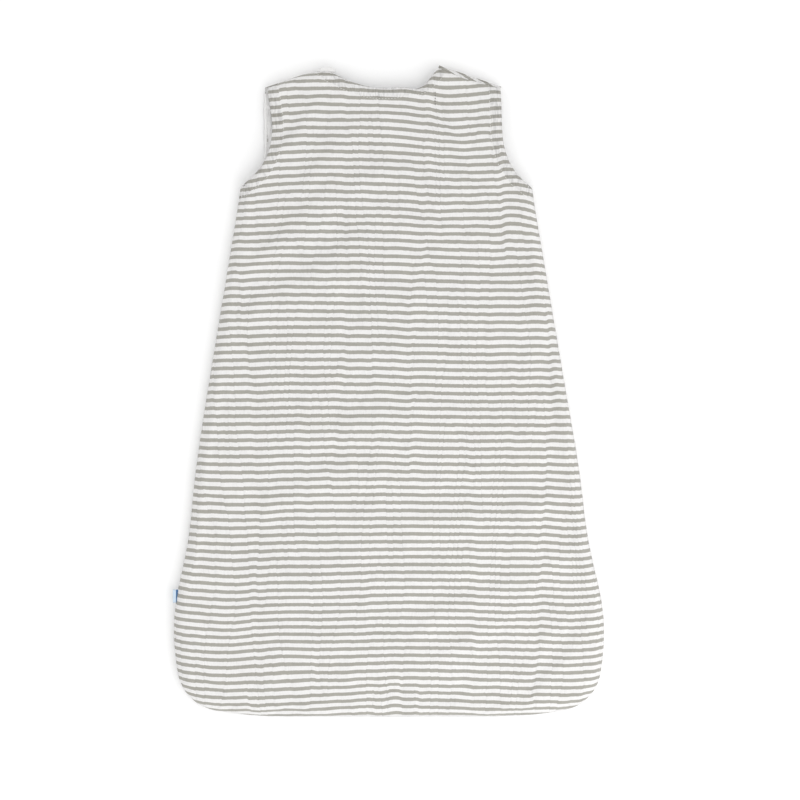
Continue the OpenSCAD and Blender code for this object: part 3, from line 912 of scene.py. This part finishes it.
# closed wadding between a lining and its shell, found by looking outwards from each point
def addWadding(name, node, shell, lining, isBack):
    up = Vector((0, 0, 1 if isBack else -1))
    graph = bpy.context.evaluated_depsgraph_get()
    shellTree = BVHTree.FromObject(shell, graph)
    liningTree = BVHTree.FromObject(lining, graph)
    low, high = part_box(node)
    bm, outline = cutPanel(node, high.z if isBack else low.z)
    points = np.array([v.co.xy for v in bm.verts])
    inside = fade(0, 12 * mm, toSegments(points, outline)[0])
    lump = insides["waddingLump"] * waves(points, 16 * mm, 16 * mm, 7)
    lx, ly = layPoints(points[:, 0], points[:, 1], isBack)
    lx, ly = lx * 0.994, ly - 2 * mm * np.sign(ly) * fade(0.25, 0.35, abs(ly))
    tops, bottoms = [], []
    for x, y, part, bump in zip(lx, ly, inside, lump):
        floor = liningTree.ray_cast(Vector((x, y, seamZ)) - up * 0.05, up)[0]
        floorZ = (floor.z if floor else (liningMid[0] if isBack else liningMid[1])) + up.z * 0.15 * mm
        roof = shellTree.ray_cast(Vector((x, y, floorZ)), up)[0]
        roofZ = (roof.z if roof else floorZ + up.z * 0.6 * mm) - up.z * 0.2 * mm
        middle = (floorZ + roofZ) / 2
        half = max(abs(roofZ - floorZ) / 2, 0.12 * mm) * part
        tops.append(middle + up.z * (half + min(bump, 0) * part))
        bottoms.append(middle - up.z * half)
    whole = bmesh.new()
    for heights, isTop in ((tops, True), (bottoms, False)):
        new = [whole.verts.new((lx[i], ly[i], heights[i])) for i in range(len(points))]
        copyFaces(whole, bm, new, isTop == isBack)
    rims = [v for v in whole.verts if v.is_boundary]
    bmesh.ops.remove_doubles(whole, verts=rims, dist=0.01 * mm)
    bm.free()
    obj = meshObject(name, whole)
    finishPiece(obj, [node], waddingFibre)


for name, node, shell, lining, isBack in (
        ("backWadding", "back_wadding", "backShell", 0, True),
        ("frontWaddingLeft", "front_wadding_left", "frontShellLeft", 1, False),
        ("frontWaddingRight", "front_wadding_right", "frontShellRight", 2, False)):
    addWadding(name, node, shellPieces[shell], linings[lining], isBack)
print("lining, facings and wadding")

# zip, slider and labels

zipper = {
    "tapeThick": 0.5 * mm,
    "toothRound": 0.3 * mm,
    "stopRound": 0.45 * mm,
    "sliderRound": 0.22 * mm,
    "linkRound": 0.2 * mm,
    "gripRound": 0.45 * mm,
}


# a strip of cloth: a grid whose points go where place(u, v) says, u across and v along, both from 0 to 1
def strip(name, width, length, cellsWide, cellsLong, place, thick):
    bm = bmesh.new()
    uv = bm.loops.layers.uv.new("cut")
    bmesh.ops.create_grid(bm, x_segments=cellsWide, y_segments=cellsLong, size=0.5)
    flat = {v: (v.co.x + 0.5, v.co.y + 0.5) for v in bm.verts}
    for face in bm.faces:
        face.smooth = True
        for loop in face.loops:
            u, v = flat[loop.vert]
            loop[uv].uv = (u * width, v * length)
    for vert, (u, v) in flat.items():
        vert.co = place(u, v)
    obj = meshObject(name, bm)
    thicken(obj, thick, 0)
    return obj


# a point on a line of corners, at a share of its length
def alongLine(corners, share):
    lengths = [math.dist(a, b) for a, b in zip(corners[:-1], corners[1:])]
    left = share * sum(lengths)
    for a, b, length in zip(corners[:-1], corners[1:], lengths):
        if left <= length or b is corners[-1]:
            t = min(left / length, 1)
            return [p + (q - p) * t for p, q in zip(a, b)]
        left -= length


# a copy of a CAD node with its flat faces whole again and its edges rounded
def roundedCopy(name, node, width, segments=3):
    bm = bmesh.new()
    bm.from_mesh(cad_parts[node].data)
    bmesh.ops.remove_doubles(bm, verts=bm.verts, dist=0.005 * mm)
    bmesh.ops.dissolve_limit(bm, angle_limit=math.radians(1), verts=bm.verts, edges=bm.edges)
    sharp = [e for e in bm.edges if len(e.link_faces) == 2 and e.calc_face_angle() > math.radians(30)]
    bmesh.ops.bevel(bm, geom=sharp, offset=width, affect="EDGES", segments=segments, profile=0.5, material=-1,
                    clamp_overlap=True)
    for face in bm.faces:
        face.smooth = True
    return meshObject(name, bm)


# tapes with a corded edge beside the teeth
for side, way in (("Left", -1), ("Right", 1)):
    node = "zip_tape_" + side.lower()
    low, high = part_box(node)
    inX, outX = (low.x, high.x) if way > 0 else (high.x, low.x)

    def tapePlace(u, v, low=low, high=high, inX=inX, outX=outX):
        y = low.y + (high.y - low.y) * v
        bead = 0.1 * mm * math.exp(-((u * 14 - 1.0) / 0.5) ** 2)
        wave = 0.05 * mm * math.sin(y / (17 * mm)) * u
        return (inX + (outX - inX) * u, y, (low.z + high.z) / 2 + bead + wave)

    obj = strip("zipTape" + side, 14 * mm, 609 * mm, 14, 150, tapePlace, zipper["tapeThick"])
    finishPiece(obj, [node], tapeWeave)

guardLow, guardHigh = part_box("zip_guard")


def guardPlace(u, v):
    x = guardLow.x + (guardHigh.x - guardLow.x) * u
    y = guardLow.y + (guardHigh.y - guardLow.y) * v
    rise = float(fade(-8.5 * mm, -5.5 * mm, x))
    ripple = 0.18 * mm * noise.noise(Vector((x / 0.02, y / 0.03, 3))) * u
    return (x, y, frontLiningZ + 0.45 * mm + (guardHigh.z - frontLiningZ - 0.8 * mm) * rise + ripple)


guard = strip("zipGuard", 34 * mm, 611 * mm, 24, 160, guardPlace, 0.6 * mm)
finishPiece(guard, ["zip_guard"], plainMuslin)

garageLow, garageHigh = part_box("zip_garage")
capFold = [(garageLow.y, 6.8 * mm), (295.6 * mm, 6.8 * mm), (297 * mm, 6.2 * mm), (297.4 * mm, 5.2 * mm),
           (297.4 * mm, 2.6 * mm), (297 * mm, 1.8 * mm), (295.8 * mm, 1.4 * mm), (286.6 * mm, 1.4 * mm)]


def garagePlace(u, v):
    y, z = alongLine(capFold, v)
    return (garageLow.x + (garageHigh.x - garageLow.x) * u, y, z)


garage = strip("zipGarage", 10.2 * mm, 30 * mm, 10, 36, garagePlace, 0.6 * mm)
finishPiece(garage, ["zip_garage"], plainMuslin)

# labels, with nothing on them but a plain band
tabLow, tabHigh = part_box("side_label")
tabOut = tabLow.x - 1.2 * mm
tabFold = [(tabHigh.x, 10.2 * mm), (tabOut + 0.4 * mm, 11.2 * mm), (tabOut, 11.5 * mm),
           (tabOut + 0.1 * mm, 11.8 * mm), (tabOut + 0.5 * mm, 11.8 * mm), (tabHigh.x, 10.8 * mm)]


def tabPlace(u, v):
    x, z = alongLine(tabFold, v)
    y = tabLow.y + (tabHigh.y - tabLow.y) * u
    return (x, y, z + 0.25 * mm * math.sin(3 * u + 0.5))


tab = strip("sideLabel", 14 * mm, 20 * mm, 14, 30, tabPlace, 0.2 * mm)
finishPiece(tab, ["side_label"], tabWeave)

careLow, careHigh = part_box("care_label")
sizeLow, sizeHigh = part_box("size_label")


def carePlace(u, v):
    x = careLow.x + 3 * mm + (careHigh.x - careLow.x - 3 * mm) * u
    y = careLow.y + (careHigh.y - careLow.y) * v
    lift = 1.1 * mm * float(fade(careHigh.x - 22 * mm, careHigh.x, x)) * (0.6 + 0.4 * v)
    climb = 3.2 * mm * float(fade(careLow.x + 11 * mm, careLow.x + 3 * mm, x)) ** 2
    return (x, y, frontLiningZ + 0.7 * mm + lift + climb)


def sizePlace(u, v):
    x = sizeLow.x + (sizeHigh.x - sizeLow.x) * u
    y = sizeLow.y + (sizeHigh.y - sizeLow.y) * v
    hang = 0.5 * mm * (1 - v) ** 2 * (1 + 0.4 * math.sin(5 * u))
    return (x - 3.5 * mm, y - 1 * mm, (sizeLow.z + sizeHigh.z) / 2 - 0.15 * mm - hang)


care = strip("careLabel", 48 * mm, 26 * mm, 30, 16, carePlace, 0.25 * mm)
finishPiece(care, ["care_label"], labelSatin)
sizeTag = strip("sizeLabel", 24 * mm, 30 * mm, 16, 20, sizePlace, 0.25 * mm)
finishPiece(sizeTag, ["size_label"], labelSatin)
print("tapes, guard and labels")

for side in ("Left", "Right"):
    finishPiece(roundedCopy("zipTeeth" + side, "zip_teeth_" + side.lower(), zipper["toothRound"], 2),
                ["zip_teeth_" + side.lower()], toothPlastic)
    finishPiece(roundedCopy("zipTopStop" + side, "zip_top_stop_" + side.lower(), zipper["stopRound"]),
                ["zip_top_stop_" + side.lower()], satinMetal)
finishPiece(roundedCopy("zipBottomStop", "zip_bottom_stop", zipper["stopRound"]),
            ["zip_bottom_stop"], satinMetal)
for name, node, width, material, slot, body in (
        ("zipSliderBody", "zip_slider_body", zipper["sliderRound"], satinMetal, "zip_metal", "slider"),
        ("zipSliderCrown", "zip_slider_crown", zipper["sliderRound"], satinMetal, "zip_metal", "slider"),
        ("zipPullLink", "zip_pull_link", zipper["linkRound"], satinMetal, "zip_metal", "pull"),
        ("zipPullGrip", "zip_pull_grip", zipper["gripRound"], softRubber, "pull_rubber", "pull")):
    finishPiece(roundedCopy(name, node, width), [node], material, body)
print("zip hardware")

# the front wraps over the right shoulder seam onto the back, with its own slant of the stripes

wrap = {
    # share of the seam's length, width in millimetres
    "widths": [(0, 2.6), (0.25, 4.0), (0.45, 4.9), (0.7, 3.0), (0.85, 2.0), (1, 0.8)],
    "slant": math.radians(35),
    "squeeze": 1.2,           # the stripes look closer where the wrap turns over
    "shift": 2.7 * mm,
    "lift": 0.5 * mm,
}


def heightAbove(tree, x, y, otherwise=seamZ):
    hit = tree.ray_cast(Vector((x, y, 0.06)), Vector((0, 0, -1)))[0]
    return hit.z if hit else otherwise


def addShoulderWrap():
    tree = BVHTree.FromObject(shellPieces["backShell"], bpy.context.evaluated_depsgraph_get())
    ends = layPoints(np.array([60.0, 126.5]) * mm, np.array([350.0, 326.0]) * mm, True)
    start, end = Vector((ends[0][0], ends[1][0])), Vector((ends[0][1], ends[1][1]))
    run = (end - start).normalized()
    outwards = Vector((-run.y, run.x))
    stations, widths = zip(*wrap["widths"])

    def wrapPlace(u, v):
        width = np.interp(v, stations, widths) * mm
        edge = start + (end - start) * v + outwards * 0.2 * mm
        onTop = min(u / 0.6, 1)
        over = max(u - 0.6, 0) / 0.4
        d = max(width * (1 - onTop), 0.5 * mm)
        inside = edge - outwards * d
        z = heightAbove(tree, inside.x, inside.y) + wrap["lift"] * min(1, 0.3 + 4 * u)
        out = edge - outwards * (d - (0.5 * mm + 0.9 * mm * math.sin(over * math.pi / 2)) * (over > 0))
        return (out.x, out.y, z + (seamZ - 1 * mm - z) * over ** 1.6)

    obj = strip("shoulderWrap", 11 * mm, 70 * mm, 12, 60, wrapPlace, 0.7 * mm)
    mesh = obj.data
    uv = mesh.uv_layers["cut"].uv
    sine, cosine = math.sin(wrap["slant"]), math.cos(wrap["slant"])
    for i, loop in enumerate(mesh.loops):
        x, y, z = mesh.vertices[loop.vertex_index].co
        uv[i].vector = (x * cosine - y * sine, (x * sine + y * cosine) * wrap["squeeze"] + wrap["shift"])
    finishPiece(obj, ["front_shell_right"], stripedMuslin)


# folds of the facings: one stands out of the left neck point, one covers the front's edge in the left armhole
def neckFoldPlace(u, v):
    x = (-75 + 17 * u) * mm
    top = np.interp(u, (0, 0.3, 0.6, 0.85, 1), (346.2, 347.6, 348.4, 346.2, 343.4)) * mm
    across = math.sin(math.pi * v)
    y = 342.6 * mm + (top - 342.6 * mm) * across ** 0.8
    return (x + 0.6 * mm * math.sin(9 * v + 5 * u), y, 12.6 * mm - 1.3 * mm * math.cos(math.pi * v))


def armholeFoldPlace(u, v):
    y = (320.5 - 70 * v) * mm
    outer = (-134.9 + 0.25 * math.sin(17 * v)) * mm
    width = np.interp(v, (0, 0.1, 0.65, 0.9, 1), (5.0, 7.0, 7.6, 7.4, 6.0)) * mm
    edgeZ = max(heightAbove(frontTree, outer + k * mm, y, 4 * mm) for k in (1, 2, 3))
    drop = max(1 - u / 0.25, 0) ** 2
    return (outer + width * u, y, edgeZ + 0.6 * mm - 2.2 * mm * drop)


addShoulderWrap()
neckFold = strip("neckFold", 17 * mm, 11 * mm, 16, 12, neckFoldPlace, 0.5 * mm)
finishPiece(neckFold, ["neck_facing"], plainMuslin)
frontTree = BVHTree.FromObject(shellPieces["frontShellLeft"], bpy.context.evaluated_depsgraph_get())
armholeFold = strip("armholeFold", 10 * mm, 70 * mm, 10, 60, armholeFoldPlace, 0.5 * mm)
finishPiece(armholeFold, ["armhole_facing_left"], plainMuslin)

# stitching

thread = {
    "pitch": 3.3 * mm,
    "length": 2.3 * mm,
    "radius": 0.22 * mm,
    "zipLine": 3.8 * mm,     # distance of the stitch line from the zip's edges
    "tackPlace": (49 * mm, 319.5 * mm, 12.5 * mm),  # x, top and length of the bar tack
}


# lines on a mesh along which the values at its vertices pass a level
def contourLines(mesh, values, level, keep):
    crossing, links = {}, {}
    normals = {}
    for face in mesh.polygons:
        corners = list(face.vertices)
        if not keep(face.center):
            continue
        found = []
        for a, b in zip(corners, corners[1:] + corners[:1]):
            if (values[a] - level) * (values[b] - level) < 0:
                key = (min(a, b), max(a, b))
                t = (level - values[a]) / (values[b] - values[a])
                crossing[key] = mesh.vertices[a].co.lerp(mesh.vertices[b].co, t)
                normals[key] = face.normal.copy()
                found.append(key)
        if len(found) == 2:
            links.setdefault(found[0], []).append(found[1])
            links.setdefault(found[1], []).append(found[0])
    lines, used = [], set()
    for start in sorted(links, key=lambda key: len(links[key])):
        if start in used:
            continue
        chain, key = [], start
        while key is not None:
            used.add(key)
            chain.append((crossing[key], normals[key]))
            key = next((other for other in links[key] if other not in used), None)
        lines.append(chain)
    return lines


def addStitch(bm, place, along, normal, length):
    side = normal.cross(along).normalized()
    turn = Matrix((along, side, normal)).transposed().to_4x4()
    size = Matrix.Diagonal((length / 2, thread["radius"], thread["radius"] * 0.8, 1))
    bmesh.ops.create_uvsphere(bm, u_segments=6, v_segments=4, radius=1,
                              matrix=Matrix.Translation(place) @ turn @ size)


def stitchAlong(bm, chain):
    walked, nextAt = 0.0, thread["pitch"] / 2
    for (a, normal), (b, _) in zip(chain[:-1], chain[1:]):
        step = (b - a).length
        while walked + step > nextAt and step > 1e-6:
            place = a.lerp(b, (nextAt - walked) / step) + normal * 0.05 * mm
            place.z = max(place.z, 0.2 * mm)
            addStitch(bm, place, (b - a).normalized(), normal, thread["length"])
            nextAt += thread["pitch"]
        walked += step


def finishThread(name, bm, node, material):
    for face in bm.faces:
        face.smooth = True
    obj = finishPiece(meshObject(name, bm), [node], material)
    print(name, len(obj.data.polygons), "faces")


def besideOpening(c):
    return c.y > 0.2 and (abs(c.x) > 0.02 or c.z > seamZ)


def besideZip(c):
    return abs(c.x) < 0.02 and c.y < 0.29 and c.z < seamZ


for name, node in (("backShell", "back_shell"), ("frontShellLeft", "front_shell_left"),
                   ("frontShellRight", "front_shell_right")):
    mesh = shellPieces[name].data
    values = readLayer(mesh, "toOpen")
    bm = bmesh.new()
    facingLines = contourLines(mesh, values, cloth["stitchIn"], besideOpening)
    zipLines = contourLines(mesh, values, thread["zipLine"], besideZip)
    for chain in facingLines + zipLines:
        stitchAlong(bm, chain)
    finishThread(name.replace("Shell", "Stitching"), bm, node, whiteThread)

bm = bmesh.new()
tackX, tackTop, tackLength = thread["tackPlace"]
tackTree = BVHTree.FromObject(shellPieces["backShell"], bpy.context.evaluated_depsgraph_get())
for k in range(5):
    y = tackTop - tackLength * k / 4
    for dx in (-0.25, 0.25):
        place = Vector((tackX + dx * mm, y, heightAbove(tackTree, tackX, y) + 0.1 * mm))
        addStitch(bm, place, Vector((0.08, 1, 0)).normalized(), Vector((0, 0, 1)), thread["length"])
finishThread("barTack", bm, "back_shell", greyThread)
print("stitching")
